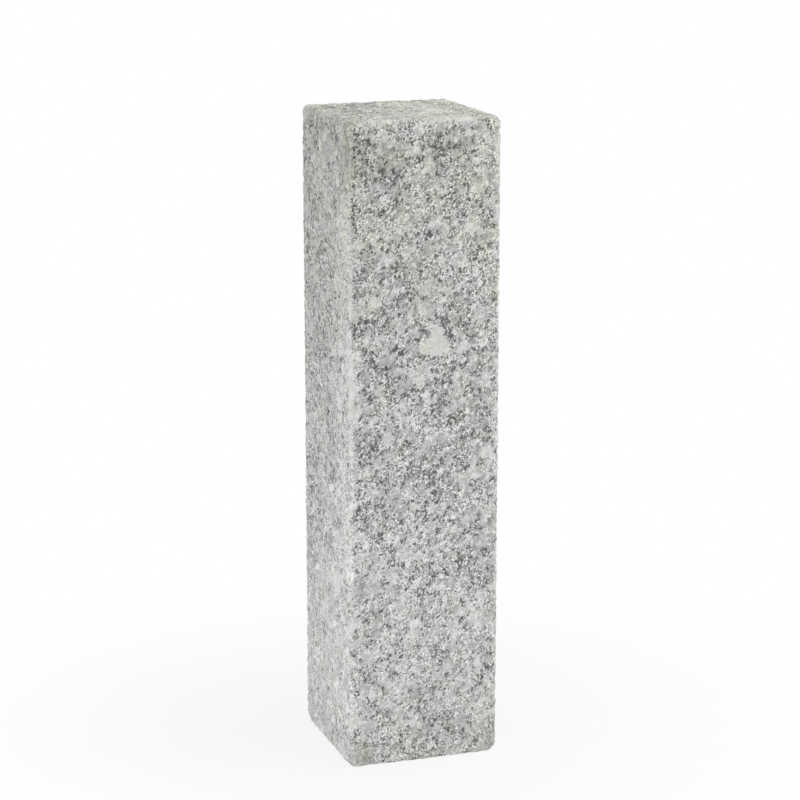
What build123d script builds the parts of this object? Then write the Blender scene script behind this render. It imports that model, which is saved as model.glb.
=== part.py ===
"""Stone palisade: one granite post of square section, bush-hammered on every face.

The post stands on its foot. X runs along the row in which such posts are set, Y goes from
the show face at the front to the back, and Z is up. The origin is the middle of the foot.
The faces are flat, the arrises are worn round, and each of the eight corners has lost an
uneven chip of its own.
"""

import os

from build123d import *

# Size of the post, in millimetres
POST_WIDTH = 120.0
POST_DEPTH = 120.0
POST_HEIGHT = 500.0

# Worn edges: the long arrises, the rim of the head and the crisper rim of the foot
ARRIS_RADIUS = 5.0
HEAD_RIM_RADIUS = 4.0
FOOT_RIM_RADIUS = 1.5

# A chipped corner loses this much of the three edges that meet there, times its own shares
CORNER_CHIP = 8.0

# The shares along X, Y and Z, by corner: -1 is left, front or foot, and 1 is right, back or head
CORNER_CHIP_SHARES = {
    (-1, -1, -1): (0.75, 0.75, 0.60),
    (1, -1, -1): (1.20, 1.10, 1.25),
    (1, 1, -1): (0.90, 1.10, 0.85),
    (-1, 1, -1): (1.10, 2.00, 1.15),
    (-1, -1, 1): (0.95, 1.05, 1.15),
    (1, -1, 1): (0.90, 0.85, 1.00),
    (1, 1, 1): (1.00, 0.90, 0.90),
    (-1, 1, 1): (0.90, 0.85, 0.85),
}


def dressed_block():
    """The post as dressed: a squared block with its long arrises and both rims worn round."""
    on_foot = (Align.CENTER, Align.CENTER, Align.MIN)
    block = Box(POST_WIDTH, POST_DEPTH, POST_HEIGHT, align=on_foot)
    block = fillet(block.edges().filter_by(Axis.Z), ARRIS_RADIUS)
    head_rim = block.faces().sort_by(Axis.Z)[-1].edges()
    block = fillet(head_rim, HEAD_RIM_RADIUS)
    foot_rim = block.faces().sort_by(Axis.Z)[0].edges()
    return fillet(foot_rim, FOOT_RIM_RADIUS)


def corner_chip(side, shares):
    """The waste beyond the plane that crosses a corner's three edges at their own distances."""
    across, along, upward = side
    losses = [CORNER_CHIP * share for share in shares]
    corner = Vector(
        across * POST_WIDTH / 2,
        along * POST_DEPTH / 2,
        POST_HEIGHT if upward > 0 else 0,
    )
    steepness = Vector(*(sign / loss for sign, loss in zip(side, losses)))
    outward = steepness.normalized()
    break_centre = corner - outward * (1 / steepness.length)
    waste_size = 2 * max(losses)
    waste = Box(waste_size, waste_size, waste_size, align=(Align.CENTER, Align.CENTER, Align.MIN))
    return Plane(origin=break_centre, z_dir=outward) * waste


def palisade_stone():
    """The dressed block less the chips from its eight corners."""
    stone = dressed_block()
    for side, shares in CORNER_CHIP_SHARES.items():
        stone -= corner_chip(side, shares)
    return stone.solid()


os.makedirs("parts", exist_ok=True)
stone = palisade_stone()
export_step(stone, "parts/palisade_stone.step")
print("palisade_stone volume in litres:", round(stone.volume / 1e6, 3))
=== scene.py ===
# %% [markdown]
# A palisade is a squared post of natural stone. Such posts are set upright, flank to flank, to edge
# a bed or hold a step. This one is light grey granite, bush-hammered on every face, with its arrises
# worn round and its corners knocked off. The lesson starts from the engineering model: it fixes the
# place and the size, and it is what the finished stone has to stay true to.

# %% Load the engineering model
from math import cos, radians, sin

import bmesh
import bpy
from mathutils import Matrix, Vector, noise


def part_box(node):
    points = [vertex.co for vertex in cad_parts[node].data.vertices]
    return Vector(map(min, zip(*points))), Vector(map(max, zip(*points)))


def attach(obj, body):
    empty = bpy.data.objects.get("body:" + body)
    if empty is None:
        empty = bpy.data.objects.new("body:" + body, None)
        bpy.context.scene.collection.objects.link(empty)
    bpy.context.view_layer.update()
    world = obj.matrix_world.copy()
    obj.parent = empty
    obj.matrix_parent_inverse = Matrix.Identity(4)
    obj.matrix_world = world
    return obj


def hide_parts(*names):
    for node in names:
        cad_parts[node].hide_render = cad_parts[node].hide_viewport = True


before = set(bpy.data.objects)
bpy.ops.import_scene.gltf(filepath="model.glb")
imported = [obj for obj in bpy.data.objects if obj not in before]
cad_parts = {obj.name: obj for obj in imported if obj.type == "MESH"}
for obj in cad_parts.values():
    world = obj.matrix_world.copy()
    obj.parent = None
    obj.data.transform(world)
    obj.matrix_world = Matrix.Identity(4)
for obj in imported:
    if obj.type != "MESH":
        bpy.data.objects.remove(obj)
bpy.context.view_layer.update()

MILLIMETRE = 0.001
stone_low, stone_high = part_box("palisade_stone")
stone_size = stone_high - stone_low
stone_middle = (stone_high + stone_low) / 2
print("The post measures", [round(side, 4) for side in stone_size], "metres")

# %% [markdown]
# The camera comes first, so that every later picture can be compared with the photograph. It looks a
# little down on the post and a little from the left, from two metres away, and the long lens keeps
# the upright edges almost parallel. It could be turned by hand in the viewport, but angles and a
# distance can be read and changed. It aims above the middle, because the photograph leaves more room
# over the stone than under it.

# %% Set up the camera
CAMERA_AZIMUTH = radians(-18.9)
CAMERA_ELEVATION = radians(14.25)
CAMERA_DISTANCE = 2.0
CAMERA_LENS = 115.6
AIM_ABOVE_MIDDLE = 0.0245

camera_data = bpy.data.cameras.new("studio_camera")
camera_data.lens = CAMERA_LENS
camera = bpy.data.objects.new("studio_camera", camera_data)
bpy.context.scene.collection.objects.link(camera)
bpy.context.scene.camera = camera

aim = stone_middle + Vector((0, 0, AIM_ABOVE_MIDDLE))
towards_camera = Vector((
    sin(CAMERA_AZIMUTH) * cos(CAMERA_ELEVATION),
    -cos(CAMERA_AZIMUTH) * cos(CAMERA_ELEVATION),
    sin(CAMERA_ELEVATION),
))
camera.location = stone_middle + towards_camera * CAMERA_DISTANCE
camera.rotation_euler = (aim - camera.location).to_track_quat("-Z", "Y").to_euler()
print("The camera stands at", [round(place, 3) for place in camera.location])

# %% [markdown]
# A mason starts from a sawn or split block, and so does the mesh: a cube, scaled to the size of the
# engineering model. The long arrises and both rims are then worn round. A Bevel modifier would round
# all edges alike, but here the arrises, the head and the foot have radii of their own, so the bevel
# operator runs three times. It picks its edges by where they lie, so the sizes can change without a
# list of edge numbers.

# %% Square the block and round its edges
ARRIS_RADIUS = 5.0 * MILLIMETRE
HEAD_RIM_RADIUS = 4.0 * MILLIMETRE
FOOT_RIM_RADIUS = 1.5 * MILLIMETRE
ROUNDING_SEGMENTS = 5
TOUCHING = 0.01 * MILLIMETRE


def wear_round(block, edges, radius):
    """Rounds these edges of the block."""
    bmesh.ops.bevel(
        block, geom=edges, offset=radius, offset_type="OFFSET", affect="EDGES",
        segments=ROUNDING_SEGMENTS, profile=0.5, material=-1,
    )


def rim_at(block, height):
    """The edges that lie at one height, which are the rim of the head or of the foot."""
    def level(edge):
        return all(abs(end.co.z - height) < TOUCHING for end in edge.verts)

    return [edge for edge in block.edges if level(edge)]


block = bmesh.new()
bmesh.ops.create_cube(block, size=1.0)
bmesh.ops.scale(block, vec=stone_size, verts=block.verts)
bmesh.ops.translate(block, vec=stone_middle, verts=block.verts)
long_arrises = [edge for edge in block.edges if edge.calc_length() > stone_size.x + TOUCHING]
wear_round(block, long_arrises, ARRIS_RADIUS)
wear_round(block, rim_at(block, stone_high.z), HEAD_RIM_RADIUS)
wear_round(block, rim_at(block, stone_low.z), FOOT_RIM_RADIUS)
print("The rounded block has", len(block.faces), "faces")

# %% [markdown]
# Corners are the first thing to go when stone is handled. Each of the eight has lost a chip of its
# own. A Boolean could take the chips away, but a flat break needs only one plane: it cuts the three
# edges at different distances, what lies beyond it is cleared, and the cut is filled. The shares are
# those of the engineering model, so both shapes agree.

# %% Knock off the corners
CORNER_CHIP = 8.0 * MILLIMETRE

# Shares of the chip along X, Y and Z: -1 is left, front or foot, and 1 is right, back or head
CORNER_CHIP_SHARES = {
    (-1, -1, -1): (0.75, 0.75, 0.60),
    (1, -1, -1): (1.20, 1.10, 1.25),
    (1, 1, -1): (0.90, 1.10, 0.85),
    (-1, 1, -1): (1.10, 2.00, 1.15),
    (-1, -1, 1): (0.95, 1.05, 1.15),
    (1, -1, 1): (0.90, 0.85, 1.00),
    (1, 1, 1): (1.00, 0.90, 0.90),
    (-1, 1, 1): (0.90, 0.85, 0.85),
}

for side, shares in CORNER_CHIP_SHARES.items():
    corner = Vector(high if sign > 0 else low for sign, low, high in zip(side, stone_low, stone_high))
    steepness = Vector(sign / (CORNER_CHIP * share) for sign, share in zip(side, shares))
    cut = bmesh.ops.bisect_plane(
        block,
        geom=[*block.verts, *block.edges, *block.faces],
        plane_co=corner - steepness / steepness.length_squared,
        plane_no=steepness.normalized(),
        clear_outer=True,
    )
    rim = [part for part in cut["geom_cut"] if isinstance(part, bmesh.types.BMEdge)]
    bmesh.ops.contextual_create(block, geom=rim)
print("With its corners off it has", len(block.faces), "faces")

# %% [markdown]
# Hammer marks need many small, even faces. Subdividing would give long faces on the sides and tiny
# ones in the roundings, so the voxel Remesh modifier makes a new skin of quads of one size. It is
# applied at once, because the hammering moves the new vertices.

# %% Give the block an even skin
SKIN_STEP = 1.75 * MILLIMETRE

mesh = bpy.data.meshes.new("palisade_stone_dressed")
block.to_mesh(mesh)
block.free()
stone = bpy.data.objects.new("palisade_stone_dressed", mesh)
bpy.context.scene.collection.objects.link(stone)
skin = stone.modifiers.new("even_skin", "REMESH")
skin.mode = "VOXEL"
skin.voxel_size = SKIN_STEP
ready = stone.evaluated_get(bpy.context.evaluated_depsgraph_get())
even_mesh = bpy.data.meshes.new_from_object(ready)
stone.modifiers.clear()
stone.data = even_mesh
print("The skin has", len(even_mesh.polygons), "faces")

# %% [markdown]
# A bush hammer is a head full of points. Every blow leaves a cluster of shallow dints and breaks
# the crystals between them, so the face is flat as a whole and rough to the touch. A bump could show
# that inside a face, but not along the edges, where the rough line is seen against the light. So the
# relief is real: a sum of slow waves, dints and broken grain, each read from a noise at the vertex's
# own place. The arrises have lost small flakes as well.

# %% Say how the hammer shapes a face
WAVE_LENGTH = 80 * MILLIMETRE
WAVE_DEPTH = 0.25 * MILLIMETRE
DINT_SPACING = 5.2 * MILLIMETRE
DINT_DEPTH = 0.85 * MILLIMETRE
MEAN_DINT = 0.5
GRAIN_LENGTH = 3.5 * MILLIMETRE
GRAIN_DEPTH = 1.0 * MILLIMETRE
MARGIN_WIDTH = 10 * MILLIMETRE
MARGIN_RELIEF = 0.75
FLAKED_LENGTH = 9 * MILLIMETRE
FLAKED_REACH = 5 * MILLIMETRE
FLAKED_DEPTH = 1.3 * MILLIMETRE
FLAKED_FROM = 0.2
FLAKED_FULLY = 0.6


def fade(value, start, end):
    """0 up to start, 1 from end on, and a smooth step between them."""
    share = min(max((value - start) / (end - start), 0.0), 1.0)
    return share * share * (3 - 2 * share)


def arris_distance(place):
    """How far a point of the surface lies from the nearest edge of the squared block."""
    inwards = sorted(min(p - low, high - p) for p, low, high in zip(place, stone_low, stone_high))
    return inwards[1]


def hammered(place):
    """The height of the bush-hammered face at a place."""
    wave = noise.noise(place / WAVE_LENGTH) * WAVE_DEPTH
    dint = (noise.voronoi(place / DINT_SPACING)[0][0] - MEAN_DINT) * DINT_DEPTH
    grain = noise.noise(place / GRAIN_LENGTH) * GRAIN_DEPTH
    margin = fade(arris_distance(place), 0, MARGIN_WIDTH)
    return wave + (dint + grain) * (MARGIN_RELIEF + (1 - MARGIN_RELIEF) * margin)


def flaked(place):
    """How much a flake has taken off the arris near a place, from 0 to 1."""
    near = 1 - fade(arris_distance(place), 0, FLAKED_REACH)
    return near * fade(noise.noise(place / FLAKED_LENGTH), FLAKED_FROM, FLAKED_FULLY)


front_middle = Vector((stone_middle.x, stone_low.y, stone_middle.z))
print("The middle of the front moves by", round(hammered(front_middle) / MILLIMETRE, 2), "millimetres")

# %% [markdown]
# Handling, sawing and standing have bruised the crystals, and bruised granite is paler and calmer.
# This number holds that bruising and painted light together. Along the arrises it is bruising and a
# painted highlight. On the head it is painted light from above over patchy bruising, strongest to its
# right.
# On the left side and above the foot it is painted light, near the foot from the floor. Where the
# number is high the grain is calmer too. It could be painted on by hand as vertex colours, but a
# function of the place and of the direction that the surface faces gives the same paint in every run.

# %% Say where the stone is bruised pale and where light is painted on
FACING_FROM = 0.3
FACING_FULLY = 0.9
PATCHINESS_LENGTH = 22 * MILLIMETRE
MEAN_PATCHINESS = 0.5
LEAST_SHARE = 0.4
# Bruising and a painted highlight along the arrises, and painted light over patchy bruising on the head
ARRIS_BAND = 7 * MILLIMETRE
ARRIS_BRUISE_AND_HIGHLIGHT = 0.70
HEAD_BRUISE_AND_LIGHT = 0.34
HEAD_RIGHT_BRUISE_AND_LIGHT = 0.36
# Half of the stretch over which the head changes from its left to its right
HEAD_CHANGE = 0.2 * stone_size.x
# Painted light on the left side, and painted light from the floor near the foot
LEFT_PAINTED_LIGHT = 0.16
LEFT_FOOT_PAINTED_LIGHT = 0.30
LEFT_INNER_DEPTH = 55 * MILLIMETRE
FOOT_PAINTED_LIGHT = 0.18
FOOT_PALE = 90 * MILLIMETRE
FOOT_BAND = 205 * MILLIMETRE
SPLASH_BAND = 60 * MILLIMETRE
LOW_PART = 40 * MILLIMETRE
MIDDLE_PART = 190 * MILLIMETRE


def facing_up(normal):
    """1 on the head and 0 on the sides."""
    return fade(normal.z, FACING_FROM, FACING_FULLY)


def facing_left(normal):
    """1 on the left side and 0 on the others."""
    return fade(-normal.x, FACING_FROM, FACING_FULLY)


def at_least_some(share):
    """The amount at a place that gets this share of it: some is left where the share is 0."""
    return LEAST_SHARE + (1 - LEAST_SHARE) * share


def bruising_and_painted_light(place, normal):
    """How much bruising and painted light a place gets, from 0 to 1."""
    height = place.z - stone_low.z
    left = facing_left(normal)
    patchy = fade(MEAN_PATCHINESS + noise.noise(place / PATCHINESS_LENGTH), 0, 1)
    arris = 1 - fade(arris_distance(place), 0, ARRIS_BAND)
    above_low_part = fade(height, LOW_PART, MIDDLE_PART)
    right = fade(place.x - stone_middle.x, -HEAD_CHANGE, HEAD_CHANGE)
    foot = 1 - fade(height, FOOT_PALE, FOOT_BAND)
    inner = fade(place.y - stone_low.y, 0, LEFT_INNER_DEPTH)
    above_splash = fade(height, 0, SPLASH_BAND)
    # Bruising and a painted highlight along the arrises, then painted light on the head, the left side
    # and above the foot
    bruised_and_lit = arris * patchy * ARRIS_BRUISE_AND_HIGHLIGHT * at_least_some(above_low_part)
    bruised_and_lit += facing_up(normal) * patchy * (HEAD_BRUISE_AND_LIGHT + right * HEAD_RIGHT_BRUISE_AND_LIGHT)
    bruised_and_lit += left * (LEFT_PAINTED_LIGHT + foot * at_least_some(inner) * LEFT_FOOT_PAINTED_LIGHT)
    bruised_and_lit += (1 - left) * above_splash * foot * FOOT_PAINTED_LIGHT
    return min(bruised_and_lit, 1.0)


UPWARDS = Vector((0, 0, 1))
head_middle = Vector((stone_middle.x, stone_middle.y, stone_high.z))
print("The middle of the head is bruised by", round(bruising_and_painted_light(head_middle, UPWARDS), 2))

# %% [markdown]
# The left side has a band of painted light along the front arris, palest in its upper half, that keeps
# its crisp grain. It could be part of the bruising, but that would calm the grain there, so the band is
# a number of its own, worked out in the same way.

# %% Say where light is painted on the left side
# A band of painted light on the left side along the front arris
LIGHT_BAND_EDGE = 5 * MILLIMETRE
LIGHT_BAND_WIDTH = 55 * MILLIMETRE
LIGHT_BAND_TOP = 95 * MILLIMETRE
LIGHT_BAND_STRENGTH = 0.40
UPPER_LIGHT_BAND_STRENGTH = 0.36
HIGH_PART = 270 * MILLIMETRE
TOP_PART = 350 * MILLIMETRE


def painted_light_band_share(place, normal):
    """How much painted light the left side gets along the front arris, from 0 to 1."""
    height = place.z - stone_low.z
    band = 1 - fade(place.y - stone_low.y, LIGHT_BAND_EDGE, LIGHT_BAND_WIDTH)
    below_top = fade(stone_high.z - place.z, 0, LIGHT_BAND_TOP)
    above_foot = fade(height, LOW_PART, MIDDLE_PART)
    upper = fade(height, HIGH_PART, TOP_PART)
    strength = LIGHT_BAND_STRENGTH + upper * UPPER_LIGHT_BAND_STRENGTH
    return facing_left(normal) * band * below_top * above_foot * strength


LEFTWARDS = Vector((-1, 0, 0))
front_arris = Vector((stone_low.x, stone_low.y, stone_middle.z))
print("The left side is brightened by", round(painted_light_band_share(front_arris, LEFTWARDS), 2), "at the front arris")

# %% [markdown]
# Stone that stands outside takes on the colour of what runs over it: rain stains the head and the
# upper part, and earth splashes the foot. This is a third number, because a stain tints the stone
# without making it paler or calmer.

# %% Say where the stone is stained
RAIN_BAND = 280 * MILLIMETRE
RAIN_STAIN = 0.65
SPLASH_STAIN = 0.45
RIGHT_STAIN = 0.25
RIGHT_FROM = 0.2 * stone_size.x
RIGHT_FULLY = 0.5 * stone_size.x


def soiling(place, normal):
    """How far rain and earth have stained the stone, from 0 to 1: the head most."""
    right = fade(place.x - stone_middle.x, RIGHT_FROM, RIGHT_FULLY)
    rain = 1 - fade(stone_high.z - place.z, 0, RAIN_BAND)
    splash = (1 - facing_left(normal)) * (1 - fade(place.z - stone_low.z, 0, SPLASH_BAND))
    stained = facing_up(normal) + rain * RAIN_STAIN + splash * SPLASH_STAIN + right * RIGHT_STAIN
    return min(stained, 1.0)


print("The middle of the head is stained by", round(soiling(head_middle, UPWARDS), 2))

# %% [markdown]
# Now the hammer falls. Every vertex moves along its own normal, and all normals and places are copied
# first, so that a moved neighbour changes nothing. No vertex sinks below the plane that the post
# stands on. A Displace modifier could move the skin too, but the loop also leaves four numbers at
# each vertex for the material: the height of the relief, the bruising with painted light, the stain
# and the band of painted light on the left side.

# %% Hammer the skin
surface = bmesh.new()
surface.from_mesh(even_mesh)
surface.normal_update()
relief_layer = surface.verts.layers.float.new("relief")
bruise_and_light_layer = surface.verts.layers.float.new("bruise_and_light")
soil_layer = surface.verts.layers.float.new("soil")
painted_light_band_layer = surface.verts.layers.float.new("painted_light_band")
moves = [(vertex, vertex.normal.copy(), vertex.co.copy()) for vertex in surface.verts]
for vertex, normal, place in moves:
    rise = hammered(place)
    vertex.co = place + normal * (rise - flaked(place) * FLAKED_DEPTH)
    vertex.co.z = max(vertex.co.z, stone_low.z)
    vertex[relief_layer] = rise / DINT_DEPTH
    # Bruising with painted light, the stain, and the band of painted light on the left side
    vertex[bruise_and_light_layer] = bruising_and_painted_light(place, normal)
    vertex[soil_layer] = soiling(place, normal)
    vertex[painted_light_band_layer] = painted_light_band_share(place, normal)
surface.to_mesh(even_mesh)
surface.free()
even_mesh.shade_smooth()
print("The hammer moved", len(moves), "vertices")

# %% [markdown]
# Granite is a mixture of crystals: pale feldspar, grey quartz and dark mica. Its material is solid,
# so it reads the Object coordinates, and the grain runs through the edges as it does in real stone.
# The nodes could be wired one by one, but a recipe is easier to read as arithmetic. So a small class
# wraps a socket, and an expression on such signals adds Math nodes.

# %% Make signals that can be reckoned with


class Signal:
    """A value on its way through a material. Arithmetic on it adds Math nodes."""

    def __init__(self, bench, socket):
        self.bench = bench
        self.socket = socket

    def output(self, name):
        """Another output of the same node."""
        return Signal(self.bench, self.socket.node.outputs[name])

    def __add__(self, other):
        return self.bench.math("ADD", self, other)

    def __sub__(self, other):
        return self.bench.math("SUBTRACT", self, other)

    def __rsub__(self, other):
        return self.bench.math("SUBTRACT", other, self)

    def __mul__(self, other):
        return self.bench.math("MULTIPLY", self, other)

    __radd__ = __add__
    __rmul__ = __mul__


print("Signals can be added, subtracted and multiplied")

# %% [markdown]
# The bench is where a material is put together. One method adds any node: its type, its settings and
# what goes into its sockets. The others are short names for the nodes that are needed most.
# Plain functions would do as well, but a bench remembers which material it works on.

# %% Make a bench for node materials
# The numbers of the Mix node's sockets that take and give colours
MIX_SHARE = 0
MIX_FIRST = 6
MIX_SECOND = 7
MIX_RESULT = 2


class Bench:
    """Adds and links the nodes of one material."""

    def __init__(self, material):
        material.use_nodes = True
        self.tree = material.node_tree
        self.tree.nodes.clear()

    def add(self, kind, settings, sockets, output=0):
        """Adds a node, sets it, fills its sockets with values or links, and gives one output."""
        node = self.tree.nodes.new(kind)
        for name, value in settings.items():
            setattr(node, name, value)
        for name, value in sockets.items():
            if isinstance(value, Signal):
                self.tree.links.new(value.socket, node.inputs[name])
            else:
                node.inputs[name].default_value = value
        return Signal(self, node.outputs[output]) if node.outputs else None

    def math(self, operation, *values):
        """A Math node on these signals or numbers."""
        return self.add("ShaderNodeMath", {"operation": operation}, dict(enumerate(values)))

    def vector(self, operation, sockets, output=0):
        """A Vector Math node."""
        return self.add("ShaderNodeVectorMath", {"operation": operation}, sockets, output)

    def step(self, value, start, end):
        """A smooth step from 0 at start to 1 at end."""
        settings = {"interpolation_type": "SMOOTHSTEP"}
        sockets = {"Value": value, "From Min": start, "From Max": end}
        return self.add("ShaderNodeMapRange", settings, sockets)

    def mix(self, share, first, second, blend="MIX"):
        """The first colour where share is 0, and the second, or its blend, where share is 1."""
        settings = {"data_type": "RGBA", "blend_type": blend}
        sockets = {MIX_SHARE: share, MIX_FIRST: first, MIX_SECOND: second}
        return self.add("ShaderNodeMix", settings, sockets, MIX_RESULT)


print("A bench adds and links the nodes of one material")

# %% [markdown]
# Stone needs textures on top of that: cloudy noise, crystals, and what the mesh keeps at its vertices.
# Noise that pushes the space about makes straight outlines uneven. An image could hold all this, but it
# would show its pixels and its seams, and a procedural texture has neither.

# %% Add the textures of stone to the bench
# The middle of the range of noise and of random colours
MIDDLE = 0.5
MIDDLE_GREY = (MIDDLE, MIDDLE, MIDDLE)


class StoneBench(Bench):
    """A bench with the textures of stone."""

    def noise(self, place, size, detail=0.0, output="Fac"):
        """Cloudy noise with patches about this size. Detail adds finer noise to it."""
        sockets = {"Vector": place, "Scale": 1 / size, "Detail": detail}
        return self.add("ShaderNodeTexNoise", {}, sockets, output)

    def shaken(self, place, size, reach, detail):
        """The place, pushed about by noise with patches about this size."""
        push = self.noise(place, size, detail, "Color")
        push = self.vector("SUBTRACT", {0: push, 1: MIDDLE_GREY})
        push = self.vector("SCALE", {0: push, "Scale": reach})
        return self.vector("ADD", {0: place, 1: push})

    def cells(self, place, size, output="Color"):
        """Crystals about this size: their random colour, or with another output their middles."""
        return self.add("ShaderNodeTexVoronoi", {}, {"Vector": place, "Scale": 1 / size}, output)

    def red(self, colour):
        """The red share of a colour. Its node has Green and Blue outputs too."""
        return self.add("ShaderNodeSeparateColor", {}, {"Color": colour}, "Red")

    def attribute(self, name):
        """A number that the mesh keeps at its vertices."""
        return self.add("ShaderNodeAttribute", {"attribute_name": name}, {}, "Fac")


granite = bpy.data.materials.new("granite_bush_hammered")
bench = StoneBench(granite)
print("The bench is ready for", granite.name)

# %% [markdown]
# The granite is built up as it grew: crystals of three sizes, of which the middle ones may be mica
# flakes. Noise alone would be cloudy, so every crystal is a cell of a Voronoi texture and takes its
# tone from the cell's random colour, which keeps its edges crisp. Mica gathers in clusters: that is
# noise read at the middle of each cell, so a whole flake is either mica or not. The grain of this
# stone leans to the right, and its crystals are longer up and into the post than across. A Mapping
# node leans and stretches the space, and holds it still at the show face.

# %% Grow the crystals
SUGAR_SIZE = 0.8 * MILLIMETRE
FLAKE_SIZE = 1.42 * MILLIMETRE
CRYSTAL_SIZE = 2.3 * MILLIMETRE
CLUSTER_SIZE = 5.5 * MILLIMETRE
SWARM_SIZE = 14 * MILLIMETRE
CLOUD_SIZE = 34 * MILLIMETRE
WARP_SIZE = 1.4 * MILLIMETRE
WARP_REACH = 1.4 * MILLIMETRE
GRAIN_LEAN = radians(30)
GRAIN_STRETCH = 1.38
GRAIN_DEPTH_STRETCH = 1.3
SOME_DETAIL = 1.0

place = bench.add("ShaderNodeTexCoord", {}, {}, "Object")
along = bench.add(
    "ShaderNodeMapping",
    {"vector_type": "TEXTURE"},
    {
        "Vector": place,
        "Location": (0, stone_low.y * (1 - GRAIN_DEPTH_STRETCH), 0),
        "Rotation": (0, GRAIN_LEAN, 0),
        "Scale": (1, GRAIN_DEPTH_STRETCH, GRAIN_STRETCH),
    },
)
grown = bench.shaken(along, WARP_SIZE, WARP_REACH, SOME_DETAIL)

flake = bench.cells(grown, FLAKE_SIZE)
flake_chance = bench.red(flake)
flake_tone = flake_chance.output("Green") - MIDDLE
crystal = bench.red(bench.cells(grown, CRYSTAL_SIZE)) - MIDDLE
sugar = bench.red(bench.cells(grown, SUGAR_SIZE)) - MIDDLE
cluster = bench.noise(flake.output("Position"), CLUSTER_SIZE, SOME_DETAIL) - MIDDLE
swarm = bench.noise(along, SWARM_SIZE) - MIDDLE
cloud = bench.noise(place, CLOUD_SIZE, SOME_DETAIL) - MIDDLE
print("The crystals need", len(bench.tree.nodes), "nodes")

# %% [markdown]
# Many feldspars grew larger than the rest and show as plain grey patches with hardly any mica, and in
# other places mica has grown into tight clumps. Both are cells of coarser Voronoi textures, of which
# only some are chosen, by their random colour. They could be scattered as balls, but cells fit side
# by side as crystals do. Noise pushes the space about before the cells are read, so their outlines
# are uneven.

# %% Set the plain feldspars and the mica clumps
FELDSPAR_SIZE = 4.8 * MILLIMETRE
CLUMP_SIZE = 6.0 * MILLIMETRE
UNEVEN_SIZE = 4 * MILLIMETRE
UNEVEN_REACH = 7 * MILLIMETRE
PLAIN_STEP = (0.50, 0.78)
CLUMP_CHANCE_STEP = (0.80, 0.88)
CLUMP_EDGE_STEP = (0.22, 0.52)

uneven = bench.shaken(along, UNEVEN_SIZE, UNEVEN_REACH, SOME_DETAIL)
feldspar = bench.red(bench.cells(uneven, FELDSPAR_SIZE))
feldspar_tone = feldspar.output("Green") - MIDDLE
plain = bench.step(feldspar, *PLAIN_STEP)
clump = bench.cells(uneven, CLUMP_SIZE)
clump_chosen = bench.step(bench.red(clump), *CLUMP_CHANCE_STEP)
clumped = (1 - bench.step(clump.output("Distance"), *CLUMP_EDGE_STEP)) * clump_chosen
print("With feldspars and clumps there are", len(bench.tree.nodes), "nodes")

# %% [markdown]
# What the eye remembers of one stone is placed one by one, and first its largest pale feldspars. A
# painted mask would need an image, so each patch is a ball round a point of the surface. The distance
# to that point is measured in a space that noise has pushed about, so the outlines are ragged. The
# largest feldspars are made of several balls.

# %% Place the largest feldspars
RAGGED_SIZE = 5 * MILLIMETRE
RAGGED_REACH = 9 * MILLIMETRE
MUCH_DETAIL = 2.0
FAR_AWAY = 1.0
FELDSPAR_EDGE = 1.2 * MILLIMETRE

# The radius of each patch in millimetres, and its middle in shares of the width, depth and height
LARGEST_FELDSPARS = [
    (8.5, (0.56, 0.00, 0.660)),
    (6.5, (0.51, 0.00, 0.656)),
    (6.0, (0.61, 0.00, 0.658)),
    (5.5, (0.57, 0.00, 0.679)),
    (5.5, (0.03, 0.00, 0.565)),
    (4.5, (0.02, 0.00, 0.605)),
    (5.0, (0.25, 0.00, 0.522)),
    (4.0, (0.46, 0.00, 0.605)),
    (5.0, (0.90, 0.00, 0.485)),
    (3.5, (0.41, 0.00, 0.225)),
    (3.5, (0.40, 0.00, 0.205)),
    (4.5, (0.76, 0.00, 0.655)),
    (5.5, (0.80, 0.00, 0.835)),
    (5.5, (0.16, 0.00, 0.730)),
    (10.0, (0.00, 0.30, 0.280)),
    (7.0, (0.00, 0.18, 0.600)),
    (8.0, (1.00, 0.62, 0.710)),
    (6.0, (1.00, 0.56, 0.700)),
    (5.0, (1.00, 0.25, 0.380)),
    (8.0, (0.35, 1.00, 0.440)),
    (6.0, (0.41, 1.00, 0.450)),
    (5.0, (0.72, 1.00, 0.780)),
    (8.0, (0.70, 0.45, 1.000)),
    (9.5, (0.05, 0.93, 0.990)),
]

pushed = bench.shaken(place, RAGGED_SIZE, RAGGED_REACH, MUCH_DETAIL)


def patches(spots, soft_edge):
    """1 inside the nearest of these patches and 0 outside them all."""
    nearest = FAR_AWAY
    for radius, shares in spots:
        middle = stone_low + stone_size * Vector(shares)
        away = bench.vector("DISTANCE", {0: pushed, 1: middle}, "Value")
        nearest = bench.math("MINIMUM", away - radius * MILLIMETRE, nearest)
    return 1 - bench.step(nearest, -soft_edge, soft_edge)


largest = patches(LARGEST_FELDSPARS, FELDSPAR_EDGE)
print("Placed", len(LARGEST_FELDSPARS), "pale balls of feldspar")

# %% [markdown]
# In some places mica swarms, and the stone looks darker there from afar. A swarm is a patch like the
# others, with a wide soft edge. It could be painted dark, but it covers nothing: it makes flakes more
# likely to be mica and the ground between them darker, so the grain runs on through it.

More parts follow.
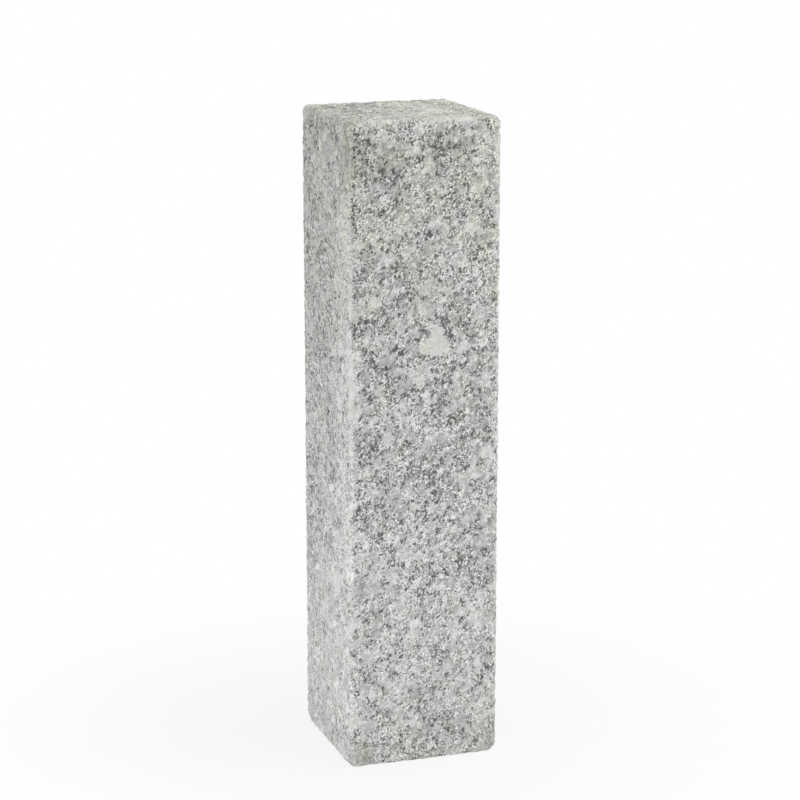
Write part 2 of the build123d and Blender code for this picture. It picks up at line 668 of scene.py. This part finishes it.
# %% Place the mica swarms
SWARM_EDGE = 7 * MILLIMETRE
MICA_SWARMS = [
    (12.0, (0.17, 0.00, 0.915)),
    (8.0, (0.10, 0.00, 0.965)),
    (8.0, (0.37, 0.00, 0.950)),
    (9.0, (0.15, 0.00, 0.625)),
    (10.0, (0.13, 0.00, 0.515)),
    (9.0, (0.23, 0.00, 0.436)),
    (8.0, (0.92, 0.00, 0.730)),
    (9.0, (0.75, 0.00, 0.965)),
    (9.0, (0.30, 0.00, 0.895)),
    (7.0, (0.07, 0.00, 0.690)),
    (8.0, (0.08, 0.00, 0.400)),
    (8.0, (0.09, 0.00, 0.575)),
    (8.0, (0.58, 0.00, 0.570)),
    (8.0, (0.92, 0.00, 0.225)),
    (8.0, (0.12, 0.00, 0.230)),
    (9.0, (0.52, 0.00, 0.955)),
    (9.0, (0.32, 0.00, 0.330)),
    (8.0, (0.00, 0.25, 0.380)),
    (9.0, (0.00, 0.60, 0.370)),
    (9.0, (0.00, 0.35, 0.490)),
    (9.0, (0.00, 0.85, 0.400)),
    (8.0, (0.00, 0.55, 0.180)),
]

swarming = patches(MICA_SWARMS, SWARM_EDGE)
print("Placed", len(MICA_SWARMS), "swarms")

# %% [markdown]
# Earth clings to the front corners of the foot and to the right front corner of the head, and the
# stone is darker in patches below the left corner of the head. Noise could scatter such marks, but
# these are where this stone has them.

# %% Place the earth stains and the darker patches
EARTH_EDGE = 5 * MILLIMETRE
DARKER_PATCH_EDGE = 12 * MILLIMETRE
EARTH_STAINS = [
    (9.0, (0.07, 0.00, 0.020)),
    (10.0, (0.97, 0.00, 0.015)),
    (8.0, (0.95, 0.10, 0.990)),
]
DARKER_PATCHES = [
    (14.0, (0.06, 0.00, 0.945)),
    (11.0, (0.26, 0.00, 0.930)),
]

earth = patches(EARTH_STAINS, EARTH_EDGE)
# Patches that are darker below the left corner of the head
darkened = patches(DARKER_PATCHES, DARKER_PATCH_EDGE)
print("Placed", len(EARTH_STAINS), "earth stains and", len(DARKER_PATCHES), "patches of darkening")

# %% [markdown]
# The crowding says how likely a flake is mica. It is the sum of all that gathers mica, from small
# clusters to wide clouds, less what drives it out: the crushed crests of the relief, bruising with
# painted light, the band of painted light on the left side and plain feldspars. A flake whose random
# chance lies below the crowding is mica. One plain threshold would do for an even stone, but this one
# is mottled.

# %% Let the mica gather
CLUSTER_PULL = 0.49
SWARM_PULL = 0.32
CLOUD_PULL = 0.17
PLACED_SWARM_PULL = 0.18
CLUMP_PULL = 0.33
CREST_LOSS = 0.12
BRUISE_AND_LIGHT_LOSS = 0.3
LIGHT_BAND_MICA_LOSS = 0.1
PLAIN_LOSS = 0.25
EVEN_CROWDING = 0.112
MICA_EDGE = 0.04

relief = bench.attribute("relief")
# Bruising with painted light, and the band of painted light on the left side
bruise_and_light = bench.attribute("bruise_and_light")
painted_light_band = bench.attribute("painted_light_band")
gathering = cluster * CLUSTER_PULL + swarm * SWARM_PULL + cloud * CLOUD_PULL
gathering = gathering + swarming * PLACED_SWARM_PULL + clumped * CLUMP_PULL
# Where light is painted on, fewer flakes are mica, so the stone there is paler
crowding = gathering - relief * CREST_LOSS - bruise_and_light * BRUISE_AND_LIGHT_LOSS - painted_light_band * LIGHT_BAND_MICA_LOSS
crowding = crowding - plain * PLAIN_LOSS + EVEN_CROWDING
mica = 1 - bench.step(flake_chance - crowding, -MICA_EDGE, MICA_EDGE)
print("The mica brings the granite to", len(bench.tree.nodes), "nodes")

# %% [markdown]
# What is not mica lies on a scale from dark quartz to white feldspar. Every crystal has a tone on it,
# darker where mica gathers, darker in the dints as painted shade, and paler on the crests, which the
# hammer has also crushed. Plain feldspars and bruised stone with painted light differ less from crystal
# to crystal, and bruised stone, painted light and the band of painted light on the left side are paler.
# A single ramp could colour the scale, but three soft steps that overlap keep each mineral's colour in
# view.

# %% Tone the ground between the mica
FLAKE_CONTRAST = 0.40
SUGAR_CONTRAST = 1.34
CRYSTAL_CONTRAST = 0.24
PLAIN_CALM = 0.65
BRUISE_AND_LIGHT_CALM = 0.8
GATHERING_SHADE = 0.80
PLAIN_SHADE_LOSS = 0.32
CREST_PALING_AND_DINT_SHADE = 0.3
FELDSPAR_CONTRAST = 0.4
FELDSPAR_LIGHT = 0.12
BRUISE_AND_LIGHT_PALING = 0.35
LIGHT_BAND_PALING = 0.38
EVEN_TONE = 0.475

grain = flake_tone * FLAKE_CONTRAST + sugar * SUGAR_CONTRAST + crystal * CRYSTAL_CONTRAST
shade = gathering * (GATHERING_SHADE - plain * PLAIN_SHADE_LOSS)
# The relief paints shade into the dints and makes the crests paler, where the hammer has crushed them
# too
crystal_tone = grain * (1 - plain * PLAIN_CALM) - shade + relief * CREST_PALING_AND_DINT_SHADE
plain_tone = plain * (feldspar_tone * FELDSPAR_CONTRAST + FELDSPAR_LIGHT)
# Bruising with painted light calms the grain, and it and the band of painted light make the tone paler
tone = crystal_tone * (1 - bruise_and_light * BRUISE_AND_LIGHT_CALM) + plain_tone
tone = tone + bruise_and_light * BRUISE_AND_LIGHT_PALING + painted_light_band * LIGHT_BAND_PALING + EVEN_TONE
print("The tones bring the granite to", len(bench.tree.nodes), "nodes")

# %% [markdown]
# Now each mineral gets its colour, as it looks in plain light: greys that are hardly warm, from the
# near black of the mica to the white of the best feldspar. The mica and the large feldspars are laid
# over the ground and let a little of it through, as thin or clouded crystals do.

# %% Colour the minerals
DARK_QUARTZ = (0.16, 0.16, 0.16, 1)
QUARTZ = (0.42, 0.42, 0.418, 1)
FELDSPAR = (0.60, 0.60, 0.594, 1)
WHITE_FELDSPAR = (0.92, 0.92, 0.912, 1)
MICA = (0.075, 0.075, 0.077, 1)
PALE_PATCH = (0.80, 0.80, 0.775, 1)
QUARTZ_STEP = (-0.1, 0.4)
FELDSPAR_STEP = (0.3, 0.65)
WHITE_STEP = (0.6, 1.1)
MICA_COVER = 0.9
PATCH_COVER = 0.7

ground = bench.mix(bench.step(tone, *QUARTZ_STEP), DARK_QUARTZ, QUARTZ)
ground = bench.mix(bench.step(tone, *FELDSPAR_STEP), ground, FELDSPAR)
ground = bench.mix(bench.step(tone, *WHITE_STEP), ground, WHITE_FELDSPAR)
coloured = bench.mix(mica * MICA_COVER, ground, MICA)
coloured = bench.mix(largest * PATCH_COVER, coloured, PALE_PATCH)
print("The colours bring the granite to", len(bench.tree.nodes), "nodes")

# %% [markdown]
# Weather comes last. Rain and splashes have left a warm tint on the head, the upper part and the foot,
# and there are patches that are a little cool. The earth gets its colour, and the patches below the
# left corner of the head are made darker. A tint that is mixed in would hide the crystals, so all but
# the earth multiply the colour and keep the grain.

# %% Stain and darken the granite
STAIN_SIZE = 14 * MILLIMETRE
WARM = (1.0, 1.0, 0.925, 1)
COOL = (0.985, 0.985, 1.0, 1)
EARTHY = (0.46, 0.44, 0.40, 1)
DARKER_TINT = (0.80, 0.80, 0.775, 1)
SOIL_PULL = 0.4
WARM_STEP = (0.50, 0.90)
COOL_STEP = (0.3, 0.55)
EARTH_COVER = 0.5

stain = bench.noise(place, STAIN_SIZE, MUCH_DETAIL)
soil = bench.attribute("soil")
warm = bench.step(stain + soil * SOIL_PULL, *WARM_STEP)
cool = 1 - bench.step(stain, *COOL_STEP)
coloured = bench.mix(warm, coloured, WARM, "MULTIPLY")
coloured = bench.mix(cool, coloured, COOL, "MULTIPLY")
coloured = bench.mix(earth * EARTH_COVER, coloured, EARTHY)
# Darker patches below the left corner of the head
coloured = bench.mix(darkened, coloured, DARKER_TINT, "MULTIPLY")
print("The stains bring the granite to", len(bench.tree.nodes), "nodes")

# %% [markdown]
# Broken crystals that are too small for the mesh are a bump: each crystal stands at a height of its
# own, and the soft mica lies deeper. More vertices could carry them, but the mesh would grow heavy
# for what is under a pixel. Broken granite is matt, and only the mica is smooth enough to glint.

# %% Finish the granite
FLAKE_RISE = 0.5
SUGAR_RISE = 0.35
CRYSTAL_RISE = 0.4
MICA_FALL = 0.3
BUMP_STRENGTH = 0.35
BUMP_DEPTH = 0.6 * MILLIMETRE
BROKEN_ROUGHNESS = 0.85
MICA_GLOSS = 0.35

broken = flake_chance * FLAKE_RISE + sugar * SUGAR_RISE + crystal * CRYSTAL_RISE - mica * MICA_FALL
bump = bench.add(
    "ShaderNodeBump",
    {},
    {"Strength": BUMP_STRENGTH, "Distance": BUMP_DEPTH, "Height": broken},
    "Normal",
)
roughness = BROKEN_ROUGHNESS - mica * MICA_GLOSS
shader = bench.add(
    "ShaderNodeBsdfPrincipled",
    {},
    {"Base Color": coloured, "Roughness": roughness, "Normal": bump},
)
bench.add("ShaderNodeOutputMaterial", {}, {"Surface": shader})
stone.data.materials.clear()
stone.data.materials.append(granite)
print("The granite has", len(bench.tree.nodes), "nodes")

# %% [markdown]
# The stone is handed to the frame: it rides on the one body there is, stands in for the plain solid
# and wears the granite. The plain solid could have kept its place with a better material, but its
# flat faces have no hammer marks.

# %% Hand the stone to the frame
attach(stone, "root")
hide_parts("palisade_stone")
print(stone.name, "rides on root in place of palisade_stone")

# %% [markdown]
# The stage is a white floor that fades into a white world, as on a studio table. Paper alone would
# turn grey away from the lamps, so to the camera it glows: fully further off, where no horizon may
# show, and a little less near the stone, where its soft shadow lies. To the light it stays matt.

# %% Lay the floor
FLOOR_RADIUS = 12.0
FLOOR_SEGMENTS = 96
SHADOW_CORE = 0.08
SHADOW_REACH = 0.45
NEAR_GLOW = 0.82
GLOW_STRENGTH = 1.0
PAPER = (0.9, 0.9, 0.9, 1)
WHITE = (1, 1, 1, 1)


def seen_by_camera(bench):
    """1 for what the camera sees, straight or through gloss and glass, and 0 for the light."""
    path = bench.add("ShaderNodeLightPath", {}, {}, "Is Camera Ray")
    seen = bench.math("MAXIMUM", path, path.output("Is Glossy Ray"))
    return bench.math("MAXIMUM", seen, path.output("Is Transmission Ray"))


floor_shape = bmesh.new()
bmesh.ops.create_circle(floor_shape, cap_ends=True, segments=FLOOR_SEGMENTS, radius=FLOOR_RADIUS)
floor_mesh = bpy.data.meshes.new("studio_floor")
floor_shape.to_mesh(floor_mesh)
floor_shape.free()
floor = bpy.data.objects.new("studio_floor", floor_mesh)
bpy.context.scene.collection.objects.link(floor)

paper = bpy.data.materials.new("studio_paper")
paper_bench = Bench(paper)
spot = paper_bench.add("ShaderNodeTexCoord", {}, {}, "Object")
reach = paper_bench.vector("LENGTH", {0: spot}, "Value")
far = paper_bench.step(reach, SHADOW_CORE, SHADOW_REACH)
glowing = seen_by_camera(paper_bench) * (far * (1 - NEAR_GLOW) + NEAR_GLOW)
matt = paper_bench.add("ShaderNodeBsdfDiffuse", {}, {"Color": PAPER})
glow = paper_bench.add("ShaderNodeEmission", {}, {"Color": WHITE, "Strength": GLOW_STRENGTH})
paper_look = paper_bench.add("ShaderNodeMixShader", {}, {0: glowing, 1: matt, 2: glow})
paper_bench.add("ShaderNodeOutputMaterial", {}, {"Surface": paper_look})
floor_mesh.materials.append(paper)
print("The floor reaches", FLOOR_RADIUS, "metres")

# %% [markdown]
# The stone stands in the even light of a studio, which the world gives: white to the camera and a
# mild grey light to the stone. Alone it would make the faces flat, so three soft lamps give the dints
# a side to face and a side to turn away: a low one lights the left side, one in front the show face,
# and one from the upper right the head. They are large and weak, so no shadow is hard.

# %% Light the studio
WORLD_LIGHT = 0.62

# Power in watts, size in metres, and the place from the middle of the stone
SOFTBOXES = {
    "left_softbox": (0.60, 0.25, (-0.38, -0.16, -0.2)),
    "right_softbox": (0.98, 0.45, (0.42, -0.5, 0.08)),
    "top_softbox": (1.6, 0.5, (0.45, -0.1, 0.66)),
}

world = bpy.data.worlds.new("studio_world")
bpy.context.scene.world = world
world_bench = Bench(world)
strength = WORLD_LIGHT + seen_by_camera(world_bench) * (1 - WORLD_LIGHT)
sky = world_bench.add("ShaderNodeBackground", {}, {"Color": WHITE, "Strength": strength})
world_bench.add("ShaderNodeOutputWorld", {}, {"Surface": sky})

for name, (power, size, offset) in SOFTBOXES.items():
    lamp = bpy.data.lights.new(name, "AREA")
    lamp.energy = power
    lamp.size = size
    softbox = bpy.data.objects.new(name, lamp)
    softbox.location = stone_middle + Vector(offset)
    softbox.rotation_euler = (stone_middle - softbox.location).to_track_quat("-Z", "Y").to_euler()
    softbox.visible_camera = False
    bpy.context.scene.collection.objects.link(softbox)
bpy.context.scene.view_settings.view_transform = "Standard"
print("The studio has", len(SOFTBOXES), "lamps")
